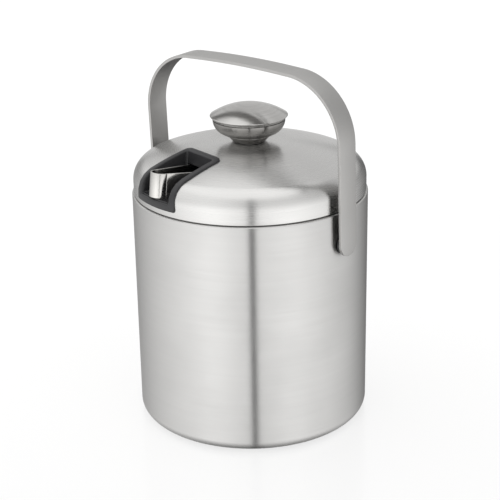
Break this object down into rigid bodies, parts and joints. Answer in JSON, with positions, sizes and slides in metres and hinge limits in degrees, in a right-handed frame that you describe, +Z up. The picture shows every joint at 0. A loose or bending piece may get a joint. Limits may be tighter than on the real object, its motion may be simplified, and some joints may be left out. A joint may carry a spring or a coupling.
{
  "type": "ice bucket",
  "caption": "Double-walled steel ice bucket with a strip bail, a domed lift-off lid with a knob, and tongs stored in a well in the lid.",
  "frame": {"origin": "centre of the circle on which the foot ring stands", "axes": "+Z up along the bucket's axis, +X along the bail's pivot axis, -Y the side where the tongs leave the lid"},
  "size_m": [0.1582, 0.1503, 0.2343],
  "materials": {
    "brushed_shell": "satin brushed round the axis",
    "liner_steel": "fine satin",
    "brushed_lid": "satin brushed round the axis",
    "brushed_knob": "satin, turned",
    "satin_bail": "matte satin along the strip",
    "polished_tongs": "polished stainless steel",
    "bright_hardware": "bright zinc or stainless",
    "black_plastic": "satin black, fine texture",
    "bush_plastic": "matt black",
    "foam": "matt expanded foam",
    "seal_rubber": "matt silicone",
    "foot_rubber": "matt"
  },
  "bodies": {
    "bucket": {"outer_shell": "brushed_shell", "inner_liner": "liner_steel", "wall_insulation": "foam", "base_plate": "liner_steel", "foot_ring": "foot_rubber", "pivot_plate_left": "liner_steel", "pivot_plate_right": "liner_steel", "pivot_bush_left": "bush_plastic", "pivot_bush_right": "bush_plastic"},
    "bail": {"bail_handle": "satin_bail", "pivot_stud_left": "bright_hardware", "pivot_stud_right": "bright_hardware", "friction_washer_left": "bright_hardware", "friction_washer_right": "bright_hardware", "retaining_ring_left": "bright_hardware", "retaining_ring_right": "bright_hardware"},
    "lid": {"lid_dome": "brushed_lid", "lid_pan": "liner_steel", "lid_seal": "seal_rubber", "lid_insulation_left": "foam", "lid_insulation_right": "foam", "tongs_well": "black_plastic", "tongs_sleeve": "black_plastic", "knob_foot": "brushed_knob", "knob_bowl": "brushed_knob", "knob_cap": "brushed_knob", "knob_stud": "bright_hardware", "knob_washer": "bright_hardware", "knob_nut": "bright_hardware"},
    "tongs": {"tongs_bow": "polished_tongs"},
    "tongs_near": {"tongs_arm_near": "polished_tongs"},
    "tongs_far": {"tongs_arm_far": "polished_tongs"}
  },
  "joints": [
    {"name": "bail_swing", "type": "hinge", "parent": "bucket", "child": "bail", "pos_m": [0, 0, 0.1307], "axis": [1, 0, 0], "range_deg": [-127, 122.9]},
    {"name": "lid_lift", "type": "slide", "parent": "bucket", "child": "lid", "axis": [0, 0, 1], "range_m": [0, 0.024]},
    {"name": "tongs_pull", "type": "slide", "parent": "lid", "child": "tongs", "axis": [-0.1911, -0.974, 0.1219], "range_m": [0, 0.14]},
    {"name": "tongs_squeeze_near", "type": "hinge", "parent": "tongs", "child": "tongs_near", "pos_m": [-0.00783, -0.06816, 0.1679], "axis": [0.0235, 0.1196, 0.9925], "range_deg": [0, 2], "stiffness_Nm_per_rad": 3},
    {"name": "tongs_squeeze_far", "type": "hinge", "parent": "tongs", "child": "tongs_far", "pos_m": [-0.01851, -0.06607, 0.1679], "axis": [0.0235, 0.1196, 0.9925], "range_deg": [-2, 0], "stiffness_Nm_per_rad": 3}
  ],
  "couplings": [
    {"joint": "tongs_squeeze_far", "follows": "tongs_squeeze_near", "ratio": -1}
  ]
}
